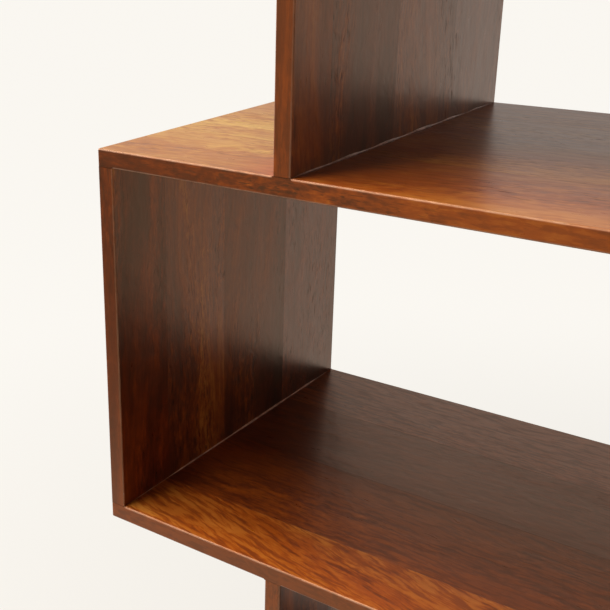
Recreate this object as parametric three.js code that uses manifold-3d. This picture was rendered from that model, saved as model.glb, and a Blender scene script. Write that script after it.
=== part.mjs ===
// Zigzag bookshelf in solid wood, millimetres, +Z up, front towards -Y.
// The origin is on the floor under the middle of the bookshelf.
//
// Long boards lie one above the other, and two upright panels stand between each pair.
// One panel is flush with the boards' end and the other is set in from the far end.
// The set-in side changes from tier to tier, which gives the zigzag.
// Every upright is butted between its boards. A loose tongue, glued into a stopped groove in
// each, holds the joint, and the grooves end short of the front so that nothing shows.

import * as THREE from 'three';
import { RoundedBoxGeometry } from 'three/addons/geometries/RoundedBoxGeometry.js';
import { mergeVertices } from 'three/addons/utils/BufferGeometryUtils.js';
import Module from 'manifold-3d';

const wasm = await Module();
wasm.setup();

// Driving dimensions of the boards and uprights

const tierCount = 5;
const boardWidth = 900;
const boardDepth = 380;
const boardThickness = 15;
const panelThickness = 15;
const tierHeight = 315;
const panelInset = 168;
const boardArris = 2;
const panelArris = 1.2;
const arrisSegments = 1;

// Loose tongues and the stopped grooves that they are glued into

const tongueThickness = 5;
const tongueHeight = 16;
const tongueArris = 0.6;
const tongueSideClearance = 0.25;
const tongueEdgeClearance = 0.5;
const tongueEndClearance = 1;
const woodOverGroove = 8;
const grooveEndMargin = 28;
const grooveEndSegments = 4;

// Floor glides, each held by one countersunk screw

const glideDiameter = 26;
const glideHeight = 5;
const glideRimChamfer = 1.5;
const glideEndMargin = 45;
const glideEdgeMargin = 40;
const glideColumns = 3;
const glideRows = 2;
const glideSides = 24;
const screwShankDiameter = 3;
const screwHeadDiameter = 6.5;
const screwHeadHeight = 1.8;
const screwHeadRecess = 1;
const screwLength = 13;
const screwTipLength = 3;
const screwClearance = 0.3;
const screwSides = 12;

// Cutters start this far outside the face that they cut
const cutOverrun = 1;

// Sizes and heights that follow from the driving dimensions

const boardGrooveDepth = boardThickness - woodOverGroove;
const tongueInBoard = boardGrooveDepth - tongueEdgeClearance;
const tongueInPanel = tongueHeight - tongueInBoard;
const panelGrooveDepth = tongueInPanel + tongueEdgeClearance;
const grooveWidth = tongueThickness + 2 * tongueSideClearance;
const grooveLength = boardDepth - 2 * grooveEndMargin;
const tongueLength = grooveLength - 2 * tongueEndClearance;
const tierPitch = tierHeight + boardThickness;
const flushPanelX = boardWidth / 2 - panelThickness / 2;
const setInPanelX = flushPanelX - panelInset;

function boardCentreHeight(level) {
  return glideHeight + boardThickness / 2 + level * tierPitch;
}

function panelCentreHeight(tier) {
  return boardCentreHeight(tier) + tierPitch / 2;
}

// The left and right upright of a tier, counted from 0 at the floor
function panelsOfTier(tier) {
  const flushLeft = tier % 2 === 0;
  return [
    { side: 'left', x: flushLeft ? -flushPanelX : -setInPanelX },
    { side: 'right', x: flushLeft ? setInPanelX : flushPanelX },
  ];
}

// Materials

const finishes = {
  board: { color: 0x8a4a26, roughness: 0.32, metalness: 0 },
  panel: { color: 0x6b3f2a, roughness: 0.34, metalness: 0 },
  tongue: { color: 0xd2ab78, roughness: 0.7, metalness: 0 },
  glide: { color: 0x2a2522, roughness: 0.55, metalness: 0 },
  screw: { color: 0xb9bcc0, roughness: 0.35, metalness: 1 },
};

const shelf = new THREE.Group();

function add(name, geometry, finish, x, y, z) {
  const mesh = new THREE.Mesh(geometry, new THREE.MeshStandardMaterial(finishes[finish]));
  mesh.name = name;
  mesh.position.set(x, y, z);
  shelf.add(mesh);
}

// Solids: a closed mesh with shared vertices becomes a manifold, and back again

function solid(geometry) {
  geometry.deleteAttribute('normal');
  geometry.deleteAttribute('uv');
  const merged = mergeVertices(geometry);
  return new wasm.Manifold(new wasm.Mesh({
    numProp: 3,
    vertProperties: new Float32Array(merged.attributes.position.array),
    triVerts: new Uint32Array(merged.index.array),
  }));
}

function meshOf(manifold) {
  const { vertProperties, triVerts } = manifold.getMesh();
  const geometry = new THREE.BufferGeometry();
  geometry.setAttribute('position', new THREE.BufferAttribute(vertProperties, 3));
  geometry.setIndex(new THREE.BufferAttribute(triVerts, 1));
  return geometry;
}

function cut(blank, cutters) {
  return meshOf(cutters.reduce((left, cutter) => left.subtract(cutter), blank));
}

// A board or upright with every arris eased
function easedBlock(x, y, z, arris) {
  return solid(new RoundedBoxGeometry(x, y, z, arrisSegments, arris));
}

// The outline of a slot that runs along Y and has round ends
function slotOutline(length, width) {
  const radius = width / 2;
  const reach = length / 2 - radius;
  const outline = new THREE.Shape();
  outline.absarc(0, reach, radius, 0, Math.PI);
  outline.absarc(0, -reach, radius, Math.PI, 2 * Math.PI);
  return outline;
}

// A stopped groove from the face at height z into the wood.
// direction is 1 where the groove is cut upwards from the face and -1 where it is cut downwards.
function groove(x, z, depth, direction) {
  const bottom = direction > 0 ? z - cutOverrun : z - depth;
  const cutter = new THREE.ExtrudeGeometry(slotOutline(grooveLength, grooveWidth), {
    depth: depth + cutOverrun,
    curveSegments: grooveEndSegments,
    bevelEnabled: false,
  });
  return solid(cutter.translate(x, 0, bottom));
}

// Turns a profile of [radius, height] pairs about Z
function turned(profile, sides) {
  const lathe = new THREE.LatheGeometry(profile.map(([r, z]) => new THREE.Vector2(r, z)), sides);
  return solid(lathe.rotateX(Math.PI / 2));
}

// Places of the floor glides, in even columns and rows under the lowest board

function evenly(count, span) {
  return Array.from({ length: count }, (_, i) => (count > 1 ? span * (i / (count - 1) - 1 / 2) : 0));
}

const glidePlaces = evenly(glideColumns, boardWidth - 2 * glideEndMargin).flatMap((x) =>
  evenly(glideRows, boardDepth - 2 * glideEdgeMargin).map((y) => ({ x, y })));

// Pilot holes for the glides' screws

const pilotRadius = screwShankDiameter / 2 + screwClearance;
const pilotDepth = screwHeadRecess + screwLength - glideHeight + screwClearance;

function pilotHole(x, y, bottomFace) {
  const height = pilotDepth + cutOverrun;
  const cutter = new THREE.CylinderGeometry(pilotRadius, pilotRadius, height, screwSides);
  cutter.rotateX(Math.PI / 2);
  return solid(cutter.translate(x, y, bottomFace - cutOverrun + height / 2));
}

// Long boards: grooves in the top face for the tier above, in the bottom face for the tier below

function longBoard(level) {
  const face = boardThickness / 2;
  const above = level < tierCount ? panelsOfTier(level) : [];
  const below = level > 0 ? panelsOfTier(level - 1) : [];
  const pilots = level === 0 ? glidePlaces : [];
  return cut(easedBlock(boardWidth, boardDepth, boardThickness, boardArris), [
    ...above.map(({ x }) => groove(x, face, boardGrooveDepth, -1)),
    ...below.map(({ x }) => groove(x, -face, boardGrooveDepth, 1)),
    ...pilots.map(({ x, y }) => pilotHole(x, y, -face)),
  ]);
}

function boardName(level) {
  if (level === 0) return 'base_board';
  return level === tierCount ? 'top_board' : `shelf_board_${level}`;
}

for (let level = 0; level <= tierCount; level++) {
  add(boardName(level), longBoard(level), 'board', 0, 0, boardCentreHeight(level));
}

// Uprights: the same groove in the end grain at both ends

function upright() {
  const end = tierHeight / 2;
  return cut(easedBlock(panelThickness, boardDepth, tierHeight, panelArris), [
    groove(0, end, panelGrooveDepth, -1),
    groove(0, -end, panelGrooveDepth, 1),
  ]);
}

// Loose tongues: strips with round ends and broken edges, about their own middle

function looseTongue() {
  const strip = new THREE.ExtrudeGeometry(slotOutline(tongueLength, tongueThickness), {
    depth: tongueHeight - 2 * tongueArris,
    curveSegments: grooveEndSegments,
    bevelThickness: tongueArris,
    bevelSize: tongueArris,
    bevelOffset: -tongueArris,
    bevelSegments: 1,
  });
  return meshOf(solid(strip.translate(0, 0, tongueArris - tongueHeight / 2)));
}

// A tongue's middle lies this far from the joint, on the upright's side
const tongueOffset = tongueInPanel - tongueHeight / 2;

for (let tier = 0; tier < tierCount; tier++) {
  for (const { side, x } of panelsOfTier(tier)) {
    const name = `tier_${tier + 1}_${side}`;
    const centre = panelCentreHeight(tier);
    const tongueFromCentre = tierHeight / 2 - tongueOffset;
    add(`${name}_panel`, upright(), 'panel', x, 0, centre);
    add(`${name}_lower_tongue`, looseTongue(), 'tongue', x, 0, centre - tongueFromCentre);
    add(`${name}_upper_tongue`, looseTongue(), 'tongue', x, 0, centre + tongueFromCentre);
  }
}

// Glides: discs with a chamfered rim and a countersunk hole, standing on the floor

function glide() {
  const rim = glideDiameter / 2;
  const headHole = screwHeadDiameter / 2 + screwClearance;
  const coneTop = screwHeadRecess + screwHeadHeight;
  return meshOf(turned([
    [headHole, 0],
    [rim - glideRimChamfer, 0],
    [rim, glideRimChamfer],
    [rim, glideHeight],
    [pilotRadius, glideHeight],
    [pilotRadius, coneTop],
    [headHole, screwHeadRecess],
    [headHole, 0],
  ], glideSides));
}

// Screws: a flat countersunk head at the floor side, a straight shank and a pointed tip

function glideScrew() {
  const head = screwHeadDiameter / 2;
  const shank = screwShankDiameter / 2;
  return meshOf(turned([
    [0, 0],
    [head, 0],
    [shank, screwHeadHeight],
    [shank, screwLength - screwTipLength],
    [0, screwLength],
  ], screwSides));
}

glidePlaces.forEach(({ x, y }, i) => {
  add(`floor_glide_${i + 1}`, glide(), 'glide', x, y, 0);
  add(`glide_screw_${i + 1}`, glideScrew(), 'screw', x, y, screwHeadRecess);
});

export default shelf;
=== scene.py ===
# %% [markdown]
# A zigzag bookshelf in walnut-stained solid wood: six long boards and ten uprights, eased by hand
# and lacquered to a satin sheen. The construction comes from the frame, which holds every board,
# upright, tongue, glide and screw at its real size. This lesson gives them their surfaces.

# %% Load the frame and the tools
import math

import bpy
import numpy as np
from mathutils import Matrix, Vector


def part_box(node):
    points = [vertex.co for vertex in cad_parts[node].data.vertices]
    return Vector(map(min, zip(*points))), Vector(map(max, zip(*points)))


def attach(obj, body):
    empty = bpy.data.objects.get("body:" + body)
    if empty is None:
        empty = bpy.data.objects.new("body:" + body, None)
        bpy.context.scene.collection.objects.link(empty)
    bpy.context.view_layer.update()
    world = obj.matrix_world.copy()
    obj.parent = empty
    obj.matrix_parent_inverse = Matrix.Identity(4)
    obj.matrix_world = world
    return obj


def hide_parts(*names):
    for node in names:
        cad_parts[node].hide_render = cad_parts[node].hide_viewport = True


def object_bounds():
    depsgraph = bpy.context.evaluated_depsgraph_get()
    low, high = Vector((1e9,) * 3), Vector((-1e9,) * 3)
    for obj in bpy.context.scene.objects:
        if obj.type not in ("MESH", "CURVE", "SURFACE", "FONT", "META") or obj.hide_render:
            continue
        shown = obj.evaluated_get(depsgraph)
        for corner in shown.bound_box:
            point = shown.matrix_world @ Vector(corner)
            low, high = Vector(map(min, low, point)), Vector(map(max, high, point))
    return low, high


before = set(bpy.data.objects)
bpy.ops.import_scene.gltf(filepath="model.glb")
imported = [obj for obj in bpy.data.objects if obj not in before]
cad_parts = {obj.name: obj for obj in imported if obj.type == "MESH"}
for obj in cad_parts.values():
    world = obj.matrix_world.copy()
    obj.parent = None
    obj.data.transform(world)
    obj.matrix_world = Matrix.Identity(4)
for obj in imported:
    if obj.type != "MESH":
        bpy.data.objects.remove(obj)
cad_low, cad_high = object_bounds()
print("bookshelf from", tuple(cad_low), "to", tuple(cad_high))

# %% [markdown]
# The camera stands in front of the shelf, to the right of the corner that it looks at, a little
# above the board that it looks across. Its place is measured from that corner: the left front end
# of the middle tier's lower board. A small sideways shift stands for the crop of the picture.

# %% Camera
corner_low, corner_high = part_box("shelf_board_2")
corner = Vector((corner_low[0], corner_low[1], corner_high[2]))

camera_from_corner = Vector((0.565, -0.627, 0.511))
camera_turn = math.radians(37.4)
camera_tilt = math.radians(20.7)
camera_roll = math.radians(0.7)
picture_side_px = 610
focal_px = 1049
shift_sideways = 0.2
sensor_mm = 36.0


def camera_rotation(turn, tilt, roll):
    """Columns right, up and back of a camera turned left from +Y, tilted down, then rolled."""
    forward = Vector((-math.sin(turn) * math.cos(tilt), math.cos(turn) * math.cos(tilt), -math.sin(tilt)))
    level = Vector((math.cos(turn), math.sin(turn), 0.0))
    down = forward.cross(level)
    right = level * math.cos(roll) + down * math.sin(roll)
    up = level * math.sin(roll) - down * math.cos(roll)
    return Matrix((right, up, -forward)).transposed()


lens = bpy.data.cameras.new("camera")
lens.sensor_width = sensor_mm
lens.lens = focal_px / picture_side_px * sensor_mm
lens.shift_x = shift_sideways
camera = bpy.data.objects.new("camera", lens)
bpy.context.scene.collection.objects.link(camera)
turned = camera_rotation(camera_turn, camera_tilt, camera_roll).to_4x4()
camera.matrix_world = Matrix.Translation(corner + camera_from_corner) @ turned
bpy.context.scene.camera = camera
bpy.context.scene.view_settings.view_transform = "Standard"
print("lens", round(lens.lens, 1), "mm, camera at", tuple(round(v, 3) for v in camera.matrix_world.translation))

# %% [markdown]
# Every finish is a tree of nodes. Two short helpers keep the trees readable: one adds a node and
# fills or links its inputs, the other adds a sum. A group with named sockets holds what several
# materials share.

# %% Node helpers


def node(tree, kind, inputs=None, **settings):
    """Adds a node, sets its properties and fills or links its inputs."""
    made = tree.nodes.new(kind)
    for name, value in settings.items():
        setattr(made, name, value)
    for name, value in (inputs or {}).items():
        if isinstance(value, bpy.types.NodeSocket):
            tree.links.new(value, made.inputs[name])
        else:
            made.inputs[name].default_value = value
    return made


def calc(tree, operation, *values, clamp=False):
    """One Math node on sockets or numbers."""
    made = node(tree, "ShaderNodeMath", dict(enumerate(values)), operation=operation, use_clamp=clamp)
    return made.outputs[0]


def noise(tree, vector, detail, roughness=0.5, distortion=0.0):
    """Noise between 0 and 1, about 0.5, with one feature for each unit of the vector."""
    inputs = {"Vector": vector, "Scale": 1.0, "Detail": detail, "Roughness": roughness, "Distortion": distortion}
    return node(tree, "ShaderNodeTexNoise", inputs).outputs["Fac"]


def stretch(tree, vector, scales):
    """The vector with each part multiplied by its own scale, in features for each metre."""
    inputs = {0: vector, 1: scales}
    return node(tree, "ShaderNodeVectorMath", inputs, operation="MULTIPLY").outputs[0]


def group(tree, made, inputs):
    """Places a group and fills or links its named inputs."""
    placed = node(tree, "ShaderNodeGroup", node_tree=made)
    for name, value in inputs.items():
        if isinstance(value, bpy.types.NodeSocket):
            tree.links.new(value, placed.inputs[name])
        else:
            placed.inputs[name].default_value = value
    return placed


def new_group(name, inputs, outputs):
    """An empty shader group with named sockets, its tree, its inputs and its output node."""
    tree = bpy.data.node_groups.new(name, "ShaderNodeTree")
    for socket, kind in inputs.items():
        tree.interface.new_socket(socket, in_out="INPUT", socket_type=kind)
    for socket, kind in outputs.items():
        tree.interface.new_socket(socket, in_out="OUTPUT", socket_type=kind)
    return tree, tree.nodes.new("NodeGroupInput").outputs, tree.nodes.new("NodeGroupOutput")


def ramp(tree, value, stops):
    """A colour ramp through (place, colour) stops."""
    made = node(tree, "ShaderNodeValToRGB", {"Fac": value})
    band = made.color_ramp
    while len(band.elements) < len(stops):
        band.elements.new(0.5)
    for element, (place, colour) in zip(band.elements, stops):
        element.position = place
        element.color = (*colour, 1.0)
    return made.outputs["Color"]


# %% [markdown]
# The wood. A board is glued up from four staves, each cut from another part of the log, so grain
# and tone jump at every seam. One group answers two questions for a point in the wood: which stave
# it is in, and where it lies in the log. The grain runs along X of the vector, the staves lie side
# by side along Y, and Z goes through the thickness.

# %% Stave group
SEAMS = ["Seam 1", "Seam 2", "Seam 3"]
SHADES = ["Shade 1", "Shade 2", "Shade 3", "Shade 4"]
SLANTS = ["Slant 1", "Slant 2", "Slant 3", "Slant 4"]
TILTS = ["Tilt 1", "Tilt 2", "Tilt 3", "Tilt 4"]


def stave_group():
    """Counts the seams in front of a point and gives the shade and the grain's slant of its stave.

    Cup = Tilt 1 * Y + sum of (next tilt - tilt) * max(Y - seam, 0): planes that meet at the seams.
    """
    tree, given, out = new_group(
        "stave",
        {"Vector": "NodeSocketVector", "Seed": "NodeSocketFloat",
         **dict.fromkeys(SEAMS + SHADES + SLANTS + TILTS, "NodeSocketFloat")},
        dict.fromkeys(["Number", "Shade", "Slant", "Seam", "Cup"], "NodeSocketFloat"),
    )
    across = node(tree, "ShaderNodeSeparateXYZ", {0: given["Vector"]}).outputs["Y"]
    number, shade, slant, nearest = given["Seed"], given[SHADES[0]], given[SLANTS[0]], 1.0
    cup = calc(tree, "MULTIPLY", given[TILTS[0]], across)
    for count, seam in enumerate(SEAMS):
        passed = calc(tree, "GREATER_THAN", across, given[seam])
        number = calc(tree, "ADD", number, passed)
        lighter = calc(tree, "SUBTRACT", given[SHADES[count + 1]], given[SHADES[count]])
        shade = calc(tree, "MULTIPLY_ADD", passed, lighter, shade)
        steeper = calc(tree, "SUBTRACT", given[SLANTS[count + 1]], given[SLANTS[count]])
        slant = calc(tree, "MULTIPLY_ADD", passed, steeper, slant)
        beyond = calc(tree, "SUBTRACT", across, given[seam])
        nearest = calc(tree, "MINIMUM", nearest, calc(tree, "ABSOLUTE", beyond))
        bend = calc(tree, "SUBTRACT", given[TILTS[count + 1]], given[TILTS[count]])
        cup = calc(tree, "MULTIPLY_ADD", bend, calc(tree, "MAXIMUM", beyond, 0.0), cup)
    seam_width = 0.0005
    line = node(tree, "ShaderNodeMapRange", {"Value": nearest, "From Min": 0.0, "From Max": seam_width,
                                             "To Min": 1.0, "To Max": 0.0}).outputs[0]
    tree.links.new(number, out.inputs["Number"])
    tree.links.new(shade, out.inputs["Shade"])
    tree.links.new(slant, out.inputs["Slant"])
    tree.links.new(line, out.inputs["Seam"])
    tree.links.new(cup, out.inputs["Cup"])
    return tree


STAVES = stave_group()
print("stave group:", len(STAVES.nodes), "nodes")

# %% [markdown]
# A log is a bundle of rings round a pith that wanders. A stave is a flat slice of it, so the rings
# show as long lines, or as pointed arches where the slice runs close to the pith. Distance from
# the pith gives both, and rings on the end grain, from one formula. Over the rings lie fine dark
# lines, the fibres, the pores that show as short dark dashes, and a ripple across the grain.

# %% Grain group
WALNUT_TONES = [
    (0.00, (0.0060, 0.0008, 0.0004)),
    (0.25, (0.0420, 0.0040, 0.0010)),
    (0.50, (0.1450, 0.0210, 0.0030)),
    (0.75, (0.3500, 0.0600, 0.0040)),
    (1.00, (0.6000, 0.1700, 0.0180)),
]
GOLDEN = (0.97, 2.15, 4.20)
# pale colour of an eased arris: thinner stain, and also a painted highlight along the arris
WORN_AND_HIGHLIGHT_COLOUR = (0.60, 0.37, 0.26, 1.0)


def grain_group():
    """Tone = shade + weighted sum of rings, bands, fibres and ripple; a ramp turns it to colour."""
    scalars = ["Number", "Shade", "Slant", "Seam", "Contrast", "Streaks", "Lines", "Edge tone and highlight", "Gold", "Rubbed and highlight",
               "Cup"]
    tree, given, out = new_group(
        "walnut_grain",
        {"Vector": "NodeSocketVector", **dict.fromkeys(scalars, "NodeSocketFloat")},
        {"Color": "NodeSocketColor", "Roughness": "NodeSocketFloat", "Height": "NodeSocketFloat"},
    )
    drawn = node(tree, "ShaderNodeTexWhiteNoise", {"W": given["Number"]}, noise_dimensions="1D").outputs["Color"]
    draws = node(tree, "ShaderNodeSeparateColor", {0: drawn}).outputs
    part = node(tree, "ShaderNodeSeparateXYZ", {0: given["Vector"]}).outputs
    ripple = noise(tree, stretch(tree, given["Vector"], (38.0, 45.0, 45.0)), 2.0, 0.6, 1.0)
    across = calc(tree, "MULTIPLY_ADD", part["X"], calc(tree, "MULTIPLY", given["Slant"], -1.0), part["Y"])
    across = calc(tree, "MULTIPLY_ADD", ripple, 0.006, across)
    sway = noise(tree, stretch(tree, given["Vector"], (6.0, 12.0, 12.0)), 2.0, 0.5)
    across = calc(tree, "MULTIPLY_ADD", sway, 0.022, across)
    along = calc(tree, "MULTIPLY_ADD", draws["Green"], 40.0, part["X"])
    through = calc(tree, "MULTIPLY_ADD", draws["Blue"], 9.0, part["Z"])
    log = node(tree, "ShaderNodeCombineXYZ", {"X": along, "Y": across, "Z": through}).outputs[0]

    # distance from the pith, which lies under the face and leans along the stave
    wander = calc(tree, "SUBTRACT", noise(tree, stretch(tree, log, (2.4, 9.0, 9.0)), 2.0, 0.5), 0.5)
    pith_side = calc(tree, "MULTIPLY", calc(tree, "SUBTRACT", draws["Blue"], 0.5), 0.30)
    pith_depth = calc(tree, "MULTIPLY_ADD", draws["Red"], 0.05, 0.02)
    side = calc(tree, "SUBTRACT", across, pith_side)
    under = calc(tree, "ADD", part["Z"], pith_depth)
    lean = calc(tree, "MULTIPLY", calc(tree, "SUBTRACT", draws["Green"], 0.5), 0.09)
    under = calc(tree, "MULTIPLY_ADD", part["X"], lean, under)
    squares = calc(tree, "MULTIPLY_ADD", side, side, calc(tree, "MULTIPLY", under, under))
    radius = calc(tree, "MULTIPLY_ADD", wander, 0.05, calc(tree, "SQRT", squares))
    ring_place = node(tree, "ShaderNodeCombineXYZ", {"X": calc(tree, "MULTIPLY", radius, 95.0),
                                                     "Y": calc(tree, "MULTIPLY", along, 1.1)}).outputs[0]
    rings = noise(tree, ring_place, 4.0, 0.68)
    heart_place = node(tree, "ShaderNodeCombineXYZ", {"X": calc(tree, "MULTIPLY", radius, 32.0),
                                                      "Y": calc(tree, "MULTIPLY", along, 1.6), "Z": 5.0}).outputs[0]
    heart = node(tree, "ShaderNodeMapRange", {"Value": noise(tree, heart_place, 1.0, 0.5), "From Min": 0.56,
                                              "From Max": 0.70}).outputs[0]

    bands = noise(tree, stretch(tree, log, (1.6, 13.0, 13.0)), 2.0, 0.5, 0.5)
    figure = noise(tree, stretch(tree, log, (5.0, 48.0, 48.0)), 4.0, 0.6, 0.5)
    fibres = noise(tree, stretch(tree, log, (42.0, 260.0, 260.0)), 3.0, 0.6)
    flecks = noise(tree, stretch(tree, log, (130.0, 230.0, 230.0)), 2.0, 0.6)
    lines = noise(tree, stretch(tree, log, (30.0, 230.0, 230.0)), 3.0, 0.65, 0.2)
    pores = noise(tree, stretch(tree, log, (70.0, 560.0, 560.0)), 1.0, 0.5)
    patch = noise(tree, stretch(tree, log, (5.0, 24.0, 24.0)), 1.0, 0.5)
    patchy = node(tree, "ShaderNodeMapRange", {"Value": patch, "From Min": 0.38, "From Max": 0.62, "To Min": 0.15,
                                               "To Max": 1.6}).outputs[0]
    patchy = calc(tree, "MULTIPLY", patchy, given["Contrast"])
    ringed = calc(tree, "MULTIPLY", calc(tree, "SUBTRACT", rings, 0.5), given["Streaks"])
    tone = calc(tree, "MULTIPLY_ADD", ringed, 0.85, given["Shade"])
    for value, weight, strength in ((bands, 0.70, given["Contrast"]), (ripple, 0.24, given["Contrast"]),
                                    (figure, 1.00, given["Streaks"]), (fibres, 0.40, patchy), (flecks, 0.26, patchy)):
        swing = calc(tree, "MULTIPLY", calc(tree, "SUBTRACT", value, 0.5), weight)
        tone = calc(tree, "MULTIPLY_ADD", swing, strength, tone)
    pale = node(tree, "ShaderNodeMapRange", {"Value": given["Shade"], "From Min": 0.52, "From Max": 0.75,
                                             "To Min": 0.32, "To Max": 1.0}).outputs[0]
    line = node(tree, "ShaderNodeMapRange", {"Value": lines, "From Min": 0.46, "From Max": 0.60}).outputs[0]
    line = calc(tree, "MULTIPLY", calc(tree, "MULTIPLY", line, given["Lines"]), pale)
    tone = calc(tree, "MULTIPLY_ADD", line, -0.19, tone)
    tone = calc(tree, "MULTIPLY_ADD", calc(tree, "MULTIPLY", heart, given["Streaks"]), -0.24, tone)
    colour = ramp(tree, calc(tree, "ADD", tone, given["Edge tone and highlight"]), WALNUT_TONES)
    gold = calc(tree, "MULTIPLY_ADD", calc(tree, "SUBTRACT", draws["Green"], 0.5), 0.25, given["Gold"])
    gold = calc(tree, "MULTIPLY_ADD", calc(tree, "SUBTRACT", bands, 0.5), 0.5, gold, clamp=True)
    golden = node(tree, "ShaderNodeVectorMath", {0: colour, 1: GOLDEN}, operation="MULTIPLY").outputs[0]
    colour = node(tree, "ShaderNodeMix", {0: gold, 6: colour, 7: golden}, data_type="RGBA").outputs[2]
    pore = node(tree, "ShaderNodeMapRange", {"Value": pores, "From Min": 0.60, "From Max": 0.68}).outputs[0]
    pore = calc(tree, "MULTIPLY", calc(tree, "MULTIPLY", pore, patchy), 0.32, clamp=True)
    dark = calc(tree, "MAXIMUM", pore, calc(tree, "MULTIPLY", given["Seam"], 0.40))
    colour = node(tree, "ShaderNodeMix", {0: dark, 6: colour, 7: (*WALNUT_TONES[0][1], 1.0)}, data_type="RGBA").outputs[2]
    # the arris is painted pale: partly rubbed stain, partly a painted highlight
    bare_and_highlight = node(tree, "ShaderNodeMapRange", {"Value": ripple, "From Min": 0.3, "From Max": 0.6, "To Min": 0.35,
                                             "To Max": 0.85}).outputs[0]
    bare_and_highlight = calc(tree, "MULTIPLY", bare_and_highlight, given["Rubbed and highlight"])
    shaded = node(tree, "ShaderNodeMix", {0: bare_and_highlight, 6: colour, 7: WORN_AND_HIGHLIGHT_COLOUR}, data_type="RGBA")
    open_grain = calc(tree, "MAXIMUM", calc(tree, "MULTIPLY", line, 0.2), dark)
    rough = calc(tree, "MULTIPLY_ADD", fibres, 0.14, 0.23)
    rough = calc(tree, "MULTIPLY_ADD", open_grain, 0.30, rough)
    rough = calc(tree, "MULTIPLY_ADD", given["Rubbed and highlight"], 0.14, rough, clamp=True)
    height = calc(tree, "MULTIPLY_ADD", wander, 0.0010, calc(tree, "MULTIPLY", fibres, 0.00002))
    height = calc(tree, "MULTIPLY_ADD", figure, 0.00014, height)
    height = calc(tree, "ADD", given["Cup"], height)
    height = calc(tree, "MULTIPLY_ADD", ripple, 0.00020, height)
    height = calc(tree, "MULTIPLY_ADD", open_grain, -0.00002, height)
    tree.links.new(shaded.outputs[2], out.inputs["Color"])
    tree.links.new(rough, out.inputs["Roughness"])
    tree.links.new(height, out.inputs["Height"])
    return tree


GRAIN = grain_group()
print("grain group:", len(GRAIN.nodes), "nodes")

# %% [markdown]
# One material for each board and upright: the same groups with another seed, so that no two
# pieces are cut alike. In a board the grain runs along X, in an upright along Z. The stain is
# rubbed a little thinner where an arris was eased, and the pale colour on the arris is also a
# painted highlight.

# %% Walnut materials
AMBER = (1.0, 0.48, 0.20, 1.0)
LACQUER_LEVEL = 1.25
# tone lifted on the arris: partly wear, partly a painted highlight
WORN_AND_HIGHLIGHT_TONE = 0.03
BOARD_RUB_AND_HIGHLIGHT = 1.0
UPRIGHT_RUB_AND_HIGHLIGHT = 0.5


def walnut(name, upright, seed, seams, cut, look, places, golds, tones, calm):
    """Stain and satin lacquer over the grain; the grain vector is Object, turned for an upright.

    cut holds (shade, slant, tilt) for each stave, from the front; look holds contrast, streaks
    and lines. Between two places along the grain the gold, and the tone that is added on the narrow
    faces, run from one value to another. calm is the narrow faces' factor on contrast.
    """
    material = bpy.data.materials.new(name)
    material.use_nodes = True
    tree = material.node_tree
    shader = tree.nodes["Principled BSDF"]
    place = node(tree, "ShaderNodeTexCoord").outputs["Object"]
    part = node(tree, "ShaderNodeSeparateXYZ", {0: place}).outputs
    length = part["Z"] if upright else part["X"]
    if upright:
        place = node(tree, "ShaderNodeCombineXYZ", {"X": part["Z"], "Y": part["Y"], "Z": part["X"]}).outputs[0]
    shades, slants, tilts = zip(*cut)
    given = {"Vector": place, "Seed": seed, **dict(zip(SEAMS, seams)), **dict(zip(SHADES, shades)),
             **dict(zip(SLANTS, slants)), **dict(zip(TILTS, tilts))}
    stave = group(tree, STAVES, given)
    arris = node(tree, "ShaderNodeAttribute", attribute_name="arris").outputs["Fac"]
    # lighter arris tone: wear and a painted highlight
    worn_and_highlight = calc(tree, "MULTIPLY", arris, WORN_AND_HIGHLIGHT_TONE)
    narrow = node(tree, "ShaderNodeAttribute", attribute_name="edge").outputs["Fac"]
    calmer = calc(tree, "MULTIPLY_ADD", narrow, calm - 1.0, 1.0)
    lighter, gold = (node(tree, "ShaderNodeMapRange", {"Value": length, "From Min": places[0], "From Max": places[1],
                                                       "To Min": first, "To Max": second}).outputs[0]
                     for first, second in (tones, golds))
    contrast, streaks, lines = look
    given = {"Vector": place, "Contrast": calc(tree, "MULTIPLY", calmer, contrast),
             "Streaks": calc(tree, "MULTIPLY", calmer, streaks), "Lines": calc(tree, "MULTIPLY", calmer, lines),
             "Gold": calc(tree, "SUBTRACT", gold, narrow), "Edge tone and highlight": calc(tree, "MULTIPLY_ADD", narrow, lighter, worn_and_highlight),
             "Rubbed and highlight": calc(tree, "MULTIPLY", arris, UPRIGHT_RUB_AND_HIGHLIGHT if upright else BOARD_RUB_AND_HIGHLIGHT)}
    given.update({socket: stave.outputs[socket] for socket in ("Number", "Shade", "Slant", "Seam", "Cup")})
    grain = group(tree, GRAIN, given)
    tree.links.new(grain.outputs["Color"], shader.inputs["Base Color"])
    tree.links.new(grain.outputs["Roughness"], shader.inputs["Roughness"])
    bump = node(tree, "ShaderNodeBump", {"Height": grain.outputs["Height"], "Strength": 1.0, "Distance": 1.0})
    tree.links.new(bump.outputs["Normal"], shader.inputs["Normal"])
    shader.inputs["Specular Tint"].default_value = AMBER
    shader.inputs["Specular IOR Level"].default_value = LACQUER_LEVEL
    return material


# %% [markdown]
# A board is a block with every arris eased. Its surface is worked out as six grids on a cube that
# are pushed onto the block: a point's nearest place on the inner block, plus the arris radius
# along the way out. The shelf was sanded after it was glued up, so an arris fades out where an
# upright lands on it and the front faces run into each other without a groove. The radius also
# wanders a little along each edge, as it does under sandpaper.

# %% Eased blocks
ARRIS_STEPS = 5
MARGIN = 0.0012
GRID_STEP = 0.03
TIGHT = 0.00015


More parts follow.
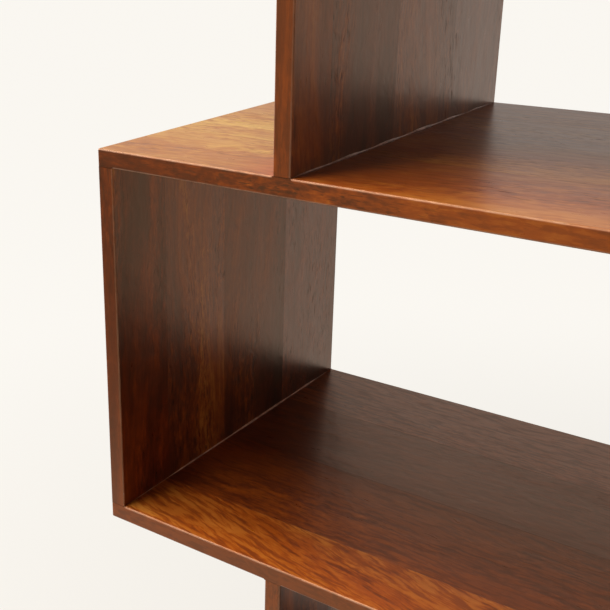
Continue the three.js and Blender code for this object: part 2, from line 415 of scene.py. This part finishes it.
def face_lines(half, radius, extra=()):
    """Places across a face: eased edge in even angles, a narrow margin, then even steps."""
    angles = np.linspace(0.0, np.pi / 4, ARRIS_STEPS + 1)[1:]
    edge = np.append(half - radius + radius * np.tan(angles), half - TIGHT)
    flat = half - radius
    inner = flat - min(MARGIN, flat / 2)
    middle = np.linspace(-inner, inner, max(2, int(round(2 * inner / GRID_STEP))) + 1)
    lines = np.concatenate([-edge, [-flat, flat], middle, edge, extra])
    lines = np.unique(lines.round(7))
    return lines[np.abs(lines) <= half + 1e-9]


def eased_block(name, low, high, face_axis, radius, end_radius, seed, extra_x=()):
    """Closed block between two corners; point = inner point + (r, r, rz) * unit way out.

    r wanders about radius; rz is end_radius(x, side), where side is -1 below and +1 above.
    Mask arris = sqrt(2) * second part of the way out; mask edge = 1 - part along face_axis.
    """
    low, high = np.array(low), np.array(high)
    half, centre = (high - low) / 2, (high + low) / 2
    lines = [face_lines(half[0], radius, np.array(extra_x) - centre[0]), face_lines(half[1], radius),
             face_lines(half[2], radius)]
    points, quads, start = [], [], 0
    for axis in range(3):
        b, c = (axis + 1) % 3, (axis + 2) % 3
        for sign in (-1.0, 1.0):
            p, q = np.meshgrid(lines[b], lines[c], indexing="ij")
            grid = np.empty((*p.shape, 3))
            grid[..., axis], grid[..., b], grid[..., c] = sign * half[axis], p, q
            rows, columns = p.shape
            index = start + np.arange(rows * columns).reshape(rows, columns)
            corners = [index[:-1, :-1], index[1:, :-1], index[1:, 1:], index[:-1, 1:]]
            if sign < 0:
                corners.reverse()
            quads.append(np.stack(corners, axis=-1).reshape(-1, 4))
            points.append(grid.reshape(-1, 3))
            start += rows * columns
    points, quads = np.concatenate(points), np.concatenate(quads)
    points, place = np.unique(points.round(7), axis=0, return_inverse=True)
    quads = place.reshape(-1)[quads]
    draw = np.random.default_rng(seed)
    waves = draw.uniform(15.0, 60.0, (3, 3)) * draw.choice([-1.0, 1.0], (3, 3))
    phase = draw.uniform(0.0, 2 * np.pi, 3)
    wander = 0.94 + 0.02 * np.sin(points @ waves.T + phase).sum(axis=1)
    side = np.sign(points[:, 2])
    radii = np.stack([radius * wander, radius * wander, end_radius(points[:, 0] + centre[0], side)], axis=1)
    radii[:, 2] = np.minimum(radii[:, 2], radii[:, 0])
    inside = np.clip(points, -(half - radii), half - radii)
    out = (points - inside) / radii
    out /= np.linalg.norm(out, axis=1, keepdims=True)
    placed = inside + radii * out + centre
    normals = out / radii
    normals /= np.linalg.norm(normals, axis=1, keepdims=True)
    masks = {"arris": np.clip(np.sort(np.abs(out), axis=1)[:, 1] * math.sqrt(2.0), 0.0, 1.0),
             "edge": 1.0 - np.abs(out[:, face_axis])}
    return mesh_piece(name, placed, [quads], normals, masks)


def mesh_piece(name, points, faces, normals=None, masks=None):
    """A smooth mesh object at the origin from an array of points and arrays of equal-sided faces."""
    corners = np.concatenate([face.ravel() for face in faces])
    sides = np.concatenate([np.full(len(face), face.shape[1]) for face in faces])
    mesh = bpy.data.meshes.new(name)
    mesh.vertices.add(len(points))
    mesh.vertices.foreach_set("co", points.astype(np.float32).ravel())
    mesh.loops.add(len(corners))
    mesh.loops.foreach_set("vertex_index", corners.astype(np.int32))
    mesh.polygons.add(len(sides))
    mesh.polygons.foreach_set("loop_start", (np.cumsum(sides) - sides).astype(np.int32))
    mesh.polygons.foreach_set("use_smooth", np.ones(len(sides), dtype=bool))
    mesh.update(calc_edges=True)
    if normals is not None:
        mesh.normals_split_custom_set_from_vertices(normals.tolist())
    for mask, values in (masks or {}).items():
        mesh.attributes.new(mask, "FLOAT", "POINT").data.foreach_set("value", values.astype(np.float32))
    made = bpy.data.objects.new(name, mesh)
    bpy.context.scene.collection.objects.link(made)
    return made


# %% Boards and uprights
BOARD_ARRIS = 0.0017
PANEL_ARRIS = 0.0015
FADE = 0.0015

depth = cad_high[1] - cad_low[1]
front = cad_low[1]
boards = ["base_board", "shelf_board_1", "shelf_board_2", "shelf_board_3", "shelf_board_4", "top_board"]
uprights = sorted(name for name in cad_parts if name.endswith("_panel"))
feet = {name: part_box(name) for name in uprights}


def seams_at(shares):
    """Seam places, in metres, from shares of the depth measured from the front edge."""
    return [front + share * depth for share in shares]


def dress_board(name, seed, shares, *finish):
    """A board whose upper and lower arrises fade out under and over the uprights that touch it."""
    low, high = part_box(name)
    above = [(a[0], b[0]) for a, b in feet.values() if abs(a[2] - high[2]) < FADE]
    below = [(a[0], b[0]) for a, b in feet.values() if abs(b[2] - low[2]) < FADE]

    def end_radius(x, side):
        covered = np.zeros_like(x)
        for spans, which in ((above, 1.0), (below, -1.0)):
            for x0, x1 in spans:
                away = np.maximum(x0 - x, x - x1)
                near = np.clip(1.0 - away / FADE, 0.0, 1.0)
                covered = np.maximum(covered, near * (side == which))
        return BOARD_ARRIS * (1.0 - covered) + TIGHT * covered

    extra = [x + shift for x0, x1 in above + below for x, shift in
             ((x0, -FADE), (x0, 0.0), (x1, 0.0), (x1, FADE / 2), (x1, FADE))]
    piece = eased_block(f"{name}_wood", low, high, 2, BOARD_ARRIS, end_radius, seed, extra)
    piece.data.materials.append(walnut(f"walnut_{name}", False, seed * 10.0, seams_at(shares), *finish))
    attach(piece, "root")
    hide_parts(name)
    return piece


def dress_upright(name, seed, shares, *finish):
    """An upright with square ends, flush where it stands on a board."""
    low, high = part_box(name)
    piece = eased_block(f"{name}_wood", low, high, 0, PANEL_ARRIS, lambda x, side: np.full_like(x, TIGHT), seed)
    piece.data.materials.append(walnut(f"walnut_{name}", True, seed * 10.0, seams_at(shares), *finish))
    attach(piece, "root")
    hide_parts(name)
    return piece


# for each piece: shares of its depth where its seams lie; (shade, slant, tilt) of each stave;
# (contrast, streaks, lines); two places along it; gold there; tone of the narrow faces there; calm
board_staves = {
    "shelf_board_2": ((0.17, 0.46, 0.74),
                      ((0.825, -0.26, 0.02), (0.61, -0.05, 0.02), (0.53, 0.04, 0.0), (0.70, -0.03, -0.02)),
                      (0.75, 0.15, 1.3), (-0.40, -0.20), (0.2, 0.1), (0.60, 0.56), 0.4),
    # on this board the gold is high on the ledge left of its upright and drops where the upright stands: painted light
    # and sheen of the lit ledge
    "shelf_board_3": ((0.27, 0.52, 0.78),
                      ((0.83, 0.12, 0.0), (0.82, 0.06, 0.01), (0.85, -0.05, -0.01), (0.80, 0.03, 0.0)),
                      (0.8, 0.1, 0.45), (-0.33, -0.28), (0.85, 0.2), (0.59, 0.645), 1.8),
}
other_boards = ((0.21, 0.50, 0.76),
                ((0.66, 0.07, 0.0), (0.54, -0.04, 0.01), (0.60, 0.03, -0.01), (0.55, -0.06, 0.01)),
                (0.7, 0.35, 1.0), (-0.25, 0.20), (0.2, 0.2), (0.50, 0.58), 0.8)
upright_staves = {
    "tier_3_left_panel": ((0.18, 0.42, 0.71),
                          ((0.61, 0.03, 0.02), (0.61, -0.04, 0.0), (0.41, 0.07, 0.02), (0.55, -0.02, -0.03)),
                          (1.4, 0.9, 0.9), (0.86, 0.93), (0.15, 0.2), (0.585, 0.42), 0.6),
    "tier_4_left_panel": ((0.14, 0.42, 0.71),
                          ((0.55, -0.03, 0.03), (0.42, 0.05, 0.02), (0.54, -0.06, -0.01), (0.53, 0.02, -0.04)),
                          (1.4, 0.9, 0.9), (1.02, 1.14), (0.2, 0.2), (0.49, 0.30), 0.8),
}
other_uprights = ((0.22, 0.47, 0.71),
                  ((0.52, -0.03, 0.01), (0.40, 0.05, -0.02), (0.52, -0.06, 0.0), (0.46, 0.02, -0.02)),
                  (1.4, 1.0, 0.6), (0.3, 1.4), (0.15, 0.15), (0.52, 0.46), 0.9)
for dress, names, chosen, usual, first_seed in ((dress_board, boards, board_staves, other_boards, 1),
                                                (dress_upright, uprights, upright_staves, other_uprights, 11)):
    for number, name in enumerate(names):
        shares, cut, look, places, golds, tones, calm = chosen.get(name, usual)
        added = [tone - cut[0][0] for tone in tones]
        dress(name, first_seed + number, shares, cut, look, places, golds, added, calm)
print(len(boards), "boards and", len(uprights), "uprights dressed")

# %% [markdown]
# Where an upright stands on a board, lacquer has gathered in the corner. It dried as a small
# sloping bead that runs out to a point near the front and the back and is thinner in places.

# %% Lacquer beads
BEAD_LEG = 0.0020
BEAD_ROOT = 0.0002
BEAD_START = 0.004
BEAD_BULGE = 0.55
BEAD_CORNERS = 7
BEAD_BACK_TAPER = 0.06
BEAD_TAPERS = {"tier_3_left_panel": 0.15}
BEAD_TINT = (1.0, 0.60, 0.42, 1.0)


def bead_strip(x, z, way, seed, taper):
    """Rings of points along Y: a quarter disc of radius BEAD_LEG * end taper * slow wander, bulging out.

    The bead reaches its full width after taper at the front, after BEAD_BACK_TAPER at the back.
    """
    y = np.linspace(front + BEAD_START, front + depth - BEAD_START, 240)
    run = np.minimum((y - y[0]) / taper, (y[-1] - y) / BEAD_BACK_TAPER)
    draw = np.random.default_rng(seed)
    waves, phase = draw.uniform(20.0, 110.0, 6), draw.uniform(0.0, 2 * np.pi, 6)
    wander = 0.66 + 0.13 * np.sin(np.outer(y, waves) + phase).sum(axis=1)
    leg = BEAD_LEG * np.clip(run, 0.05, 1.0) * np.clip(wander, 0.15, 1.0)
    angle = np.linspace(0.0, np.pi / 2, BEAD_CORNERS)
    chord = angle / (np.pi / 2)
    right = (1.0 - BEAD_BULGE) * (1.0 - chord) + BEAD_BULGE * np.cos(angle)
    up = (1.0 - BEAD_BULGE) * chord + BEAD_BULGE * np.sin(angle)
    root = np.full((len(y), 1), -BEAD_ROOT)
    across = np.hstack([root, leg[:, None], np.outer(leg, right), root])
    rise = np.hstack([root, root, np.outer(leg, up), leg[:, None]])
    along = np.broadcast_to(y[:, None], across.shape)
    points = np.stack([x + way * across, along, z + rise], axis=2).reshape(-1, 3)
    tips = np.array([[x, y[0] - BEAD_START / 4, z], [x, y[-1] + BEAD_START / 4, z]])
    count = across.shape[1]
    ring = np.arange(len(y) * count).reshape(len(y), count)
    after = np.roll(ring, -1, axis=1)
    quads = np.stack([ring[:-1], ring[1:], after[1:], after[:-1]], axis=-1).reshape(-1, 4)
    first, last = np.full(count, ring.size), np.full(count, ring.size + 1)
    caps = np.concatenate([np.stack([first, ring[0], after[0]], axis=-1), np.stack([last, after[-1], ring[-1]], axis=-1)])
    if way < 0:
        quads, caps = quads[:, ::-1], caps[:, ::-1]
    foot = np.broadcast_to(np.concatenate([[1.0, 1.0], 1.0 - chord, [0.0]]), along.shape)
    foot = np.append(foot.reshape(-1), [1.0, 1.0])
    return np.vstack([points, tips]), quads, caps, foot


def bead_material():
    """Pale brown lacquer that wanders in tone along the joint, its paleness partly a painted highlight; its foot is a
    painted shadow, near black.
    """
    material = bpy.data.materials.new("lacquer_bead")
    material.use_nodes = True
    tree = material.node_tree
    shader = tree.nodes["Principled BSDF"]
    place = node(tree, "ShaderNodeTexCoord").outputs["Object"]
    wander = noise(tree, stretch(tree, place, (60.0, 60.0, 60.0)), 3.0, 0.6)
    # the lacquer's pale tone is partly a painted highlight on the bead
    colour = ramp(tree, wander, [(0.35, (0.420, 0.200, 0.130)), (0.65, (0.950, 0.580, 0.420))])
    foot = node(tree, "ShaderNodeAttribute", attribute_name="foot").outputs["Fac"]
    # the foot of the bead is painted near black: a painted shadow line under the bead
    foot_shadow = node(tree, "ShaderNodeMapRange", {"Value": foot, "From Min": 0.78, "From Max": 0.95}).outputs[0]
    shaded = node(tree, "ShaderNodeMix", {0: foot_shadow, 6: colour, 7: (0.006, 0.002, 0.001, 1.0)}, data_type="RGBA")
    tree.links.new(shaded.outputs[2], shader.inputs["Base Color"])
    tree.links.new(calc(tree, "MULTIPLY_ADD", foot_shadow, 0.6, 0.16), shader.inputs["Roughness"])
    shader.inputs["Specular IOR Level"].default_value = 0.6
    shader.inputs["Specular Tint"].default_value = BEAD_TINT
    return material


parts, total = [], 0
for number, (name, (low, high)) in enumerate(feet.items()):
    for x, way in ((low[0], -1.0), (high[0], 1.0)):
        if cad_low[0] + FADE < x < cad_high[0] - FADE:
            taper = BEAD_TAPERS.get(name, 0.012)
            points, quads, caps, foot = bead_strip(x, low[2], way, number * 2 + int(way > 0), taper)
            parts.append((points, quads + total, caps + total, foot))
            total += len(points)
points, quads, caps, foot = (np.concatenate(arrays) for arrays in zip(*parts))
beads = mesh_piece("lacquer_beads", points, [quads, caps], masks={"foot": foot})
beads.data.materials.append(bead_material())
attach(beads, "root")
print(len(parts), "beads of", len(beads.data.polygons), "faces")

# %% [markdown]
# Hidden and small pieces keep their solids from the frame and only get a finish: pale beech for
# the tongues, moulded plastic for the glides, zinc-plated steel for the screws.

# %% Small parts


def plain_finish(name, colour, other, scale, roughness, metallic=0.0):
    """A finish that wanders between two close colours at the stated features per metre."""
    material = bpy.data.materials.new(name)
    material.use_nodes = True
    tree = material.node_tree
    shader = tree.nodes["Principled BSDF"]
    place = node(tree, "ShaderNodeTexCoord").outputs["Object"]
    wander = noise(tree, stretch(tree, place, scale), 4.0, 0.6)
    tree.links.new(ramp(tree, wander, [(0.3, colour), (0.7, other)]), shader.inputs["Base Color"])
    rough = calc(tree, "ADD", roughness, calc(tree, "MULTIPLY", wander, 0.15))
    tree.links.new(rough, shader.inputs["Roughness"])
    shader.inputs["Metallic"].default_value = metallic
    bump = node(tree, "ShaderNodeBump", {"Height": wander, "Strength": 0.2, "Distance": 0.0002})
    tree.links.new(bump.outputs["Normal"], shader.inputs["Normal"])
    return material


finishes = {
    "tongue": plain_finish("beech", (0.62, 0.42, 0.24), (0.48, 0.30, 0.16), (900.0, 20.0, 900.0), 0.55),
    "glide": plain_finish("moulded_plastic", (0.02, 0.018, 0.016), (0.035, 0.032, 0.03), (1500.0, 1500.0, 1500.0), 0.4),
    "screw": plain_finish("zinc", (0.55, 0.56, 0.58), (0.7, 0.71, 0.72), (900.0, 900.0, 900.0), 0.25, 1.0),
}
for name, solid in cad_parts.items():
    for word, finish in finishes.items():
        if word in name and "glide_screw" not in name or word == "screw" and "glide_screw" in name:
            solid.data.materials.clear()
            solid.data.materials.append(finish)

# %% [markdown]
# The studio: a pale floor and a pale surround, with broad soft lamps. The floor and the world show
# the camera a plain cream, and the floor keeps the shelf's shadow.

# %% Floor and world
CREAM = (0.975, 0.945, 0.893)
FLOOR_REACH = 16.0


def floor_material():
    """Plain cream far away; near the shelf half of it is white diffuse, which carries the shadow.

    In a reflection the floor is darker far out in front and toward the right at the back.
    """
    material = bpy.data.materials.new("studio_floor")
    material.use_nodes = True
    tree = material.node_tree
    tree.nodes.remove(tree.nodes["Principled BSDF"])
    glow = node(tree, "ShaderNodeEmission", {"Color": (*CREAM, 1.0), "Strength": 1.0})
    path = node(tree, "ShaderNodeLightPath").outputs
    plain = node(tree, "ShaderNodeMix", {0: path["Is Glossy Ray"], 6: (0.66, 0.64, 0.60, 1.0), 7: (0.0, 0.0, 0.0, 1.0)},
                 data_type="RGBA").outputs[2]
    matte = node(tree, "ShaderNodeBsdfDiffuse", {"Color": plain})
    place = node(tree, "ShaderNodeTexCoord").outputs["Object"]
    part = node(tree, "ShaderNodeSeparateXYZ", {0: place}).outputs
    away = node(tree, "ShaderNodeVectorMath", {0: place}, operation="LENGTH").outputs["Value"]
    seen = node(tree, "ShaderNodeMapRange", {"Value": away, "From Min": 0.6, "From Max": 2.5, "To Min": 0.72,
                                             "To Max": 0.98}, interpolation_type="SMOOTHSTEP").outputs[0]
    aside = calc(tree, "DIVIDE", part["X"], calc(tree, "MINIMUM", part["Y"], -0.3))
    far = node(tree, "ShaderNodeMapRange", {"Value": aside, "From Min": 0.45, "From Max": 0.95, "To Min": 0.88,
                                            "To Max": 0.25}).outputs[0]
    ahead = node(tree, "ShaderNodeMapRange", {"Value": away, "From Min": 1.4, "From Max": 2.4, "To Min": 1.0,
                                              "To Max": far}).outputs[0]
    ahead = node(tree, "ShaderNodeMapRange", {"Value": away, "From Min": 4.5, "From Max": 11.0, "To Min": ahead,
                                              "To Max": 0.95}).outputs[0]
    bearing = calc(tree, "DIVIDE", part["X"], calc(tree, "MAXIMUM", part["Y"], 0.3))
    behind = node(tree, "ShaderNodeMapRange", {"Value": bearing, "From Min": 0.42, "From Max": 0.72, "To Min": 0.93,
                                               "To Max": 0.62}).outputs[0]
    mirrored = node(tree, "ShaderNodeMapRange", {"Value": part["Y"], "From Min": -0.5, "From Max": 0.5,
                                                 "To Min": ahead, "To Max": behind}).outputs[0]
    share = calc(tree, "MULTIPLY", path["Is Camera Ray"], seen)
    share = calc(tree, "MULTIPLY_ADD", path["Is Glossy Ray"], mirrored, share, clamp=True)
    mixed = node(tree, "ShaderNodeMixShader", {0: share, 1: matte.outputs[0], 2: glow.outputs[0]})
    tree.links.new(mixed.outputs[0], tree.nodes["Material Output"].inputs["Surface"])
    return material


def studio_floor():
    """A square of floor under the shelf."""
    reach = FLOOR_REACH
    points = np.array([[-reach, -reach, 0.0], [reach, -reach, 0.0], [reach, reach, 0.0], [-reach, reach, 0.0]])
    floor = mesh_piece("studio_floor", points, [np.array([[0, 1, 2, 3]])])
    floor.data.materials.append(floor_material())
    return floor


BACKDROP_WAY = (0.5, 0.85, 0.0)


STRIP_BEARING = 0.565
GLOSS_LEVEL = 1.28
GLOSS_BY_HEIGHT = [(0.12, 0.70), (0.17, 0.33), (0.30, 0.40), (0.39, 0.98), (0.42, 0.93), (0.45, 0.79), (0.50, 0.54), (0.60, 0.35), (1.0, 0.24)]


def studio_world():
    """White to the camera; gloss sees a bright horizon and a broad bright window up at the left."""
    world = bpy.data.worlds.new("studio_world")
    bpy.context.scene.world = world
    world.use_nodes = True
    tree = world.node_tree
    path = node(tree, "ShaderNodeLightPath").outputs
    way = node(tree, "ShaderNodeTexCoord").outputs["Generated"]
    part = node(tree, "ShaderNodeSeparateXYZ", {0: way}).outputs
    toward = node(tree, "ShaderNodeVectorMath", {0: way, 1: BACKDROP_WAY}, operation="DOT_PRODUCT").outputs["Value"]
    gloss = ramp(tree, part["Z"], [(height, (level,) * 3) for height, level in GLOSS_BY_HEIGHT])
    lifted = node(tree, "ShaderNodeMapRange", {"Value": part["Z"], "From Min": 0.13, "From Max": 0.22}).outputs[0]
    right = node(tree, "ShaderNodeMapRange", {"Value": part["X"], "From Min": 0.0, "From Max": 0.25, "To Min": 0.0,
                                              "To Max": 0.85}).outputs[0]
    gloss = calc(tree, "MULTIPLY", gloss, GLOSS_LEVEL)

    # behind the shelf a dark upright strip at the left; in front the room's left side is darker
    bearing = calc(tree, "DIVIDE", part["X"], calc(tree, "MAXIMUM", part["Y"], 0.05))
    bearing = calc(tree, "ABSOLUTE", calc(tree, "ADD", bearing, STRIP_BEARING))
    ended = node(tree, "ShaderNodeMapRange", {"Value": bearing, "From Min": 0.030, "From Max": 0.045, "To Min": 0.95,
                                              "To Max": 0.0}).outputs[0]
    high = node(tree, "ShaderNodeMapRange", {"Value": part["Z"], "From Min": 0.26, "From Max": 0.32}).outputs[0]
    high = calc(tree, "MULTIPLY", high, calc(tree, "GREATER_THAN", part["Y"], 0.0))
    gloss = calc(tree, "MULTIPLY", gloss, calc(tree, "MULTIPLY_ADD", ended, calc(tree, "MULTIPLY", high, -1.0), 1.0))
    aside = calc(tree, "DIVIDE", part["X"], calc(tree, "MINIMUM", part["Y"], -0.2))
    aside = node(tree, "ShaderNodeMapRange", {"Value": aside, "From Min": 0.6, "From Max": 1.0, "To Min": 0.0,
                                              "To Max": 0.7}).outputs[0]
    low = node(tree, "ShaderNodeMapRange", {"Value": part["Z"], "From Min": 0.3, "From Max": 0.5, "To Min": -1.0,
                                            "To Max": 0.0}).outputs[0]
    low = calc(tree, "MULTIPLY", low, calc(tree, "LESS_THAN", part["Y"], 0.0))
    gloss = calc(tree, "MULTIPLY", gloss, calc(tree, "MULTIPLY_ADD", aside, low, 1.0))
    gloss = calc(tree, "MULTIPLY", gloss, calc(tree, "MULTIPLY_ADD", lifted, calc(tree, "MULTIPLY", right, -1.0), 1.0))
    light = node(tree, "ShaderNodeMapRange", {"Value": part["Z"], "From Min": -0.1, "From Max": 0.7, "To Min": 1.0,
                                              "To Max": 0.2}).outputs[0]
    side = node(tree, "ShaderNodeMapRange", {"Value": toward, "From Min": -1.0, "From Max": 1.0, "To Min": 0.25,
                                             "To Max": 1.0}).outputs[0]
    light = calc(tree, "MULTIPLY", calc(tree, "MULTIPLY", light, side), 0.35)
    strength = node(tree, "ShaderNodeMix", {0: path["Is Glossy Ray"], 2: light, 3: gloss}).outputs[0]
    strength = node(tree, "ShaderNodeMix", {0: path["Is Camera Ray"], 2: strength, 3: 1.0}).outputs[0]
    back = tree.nodes["Background"]
    back.inputs["Color"].default_value = (*CREAM, 1.0)
    tree.links.new(strength, back.inputs["Strength"])


studio_floor()
studio_world()

# %% Lamps


def soft_lamp(name, place, target, width, height, watts, colour=(1.0, 0.97, 0.92)):
    """A rectangular lamp at a place, aimed at a target."""
    light = bpy.data.lights.new(name, "AREA")
    light.shape, light.size, light.size_y = "RECTANGLE", width, height
    light.energy, light.color = watts, colour
    lamp = bpy.data.objects.new(name, light)
    aim = (Vector(target) - Vector(place)).to_track_quat("-Z", "Y").to_matrix().to_4x4()
    lamp.matrix_world = Matrix.Translation(Vector(place)) @ aim
    lamp.visible_camera = False
    bpy.context.scene.collection.objects.link(lamp)
    return lamp


middle = (cad_low + cad_high) / 2
soft_lamp("left_window", (-3.3, -0.5, 2.4), middle, 1.6, 1.6, 120.0)
soft_lamp("overhead", (-0.95, -0.68, 2.9), (-0.2, -0.3, 0.7), 1.2, 0.5, 50.0)
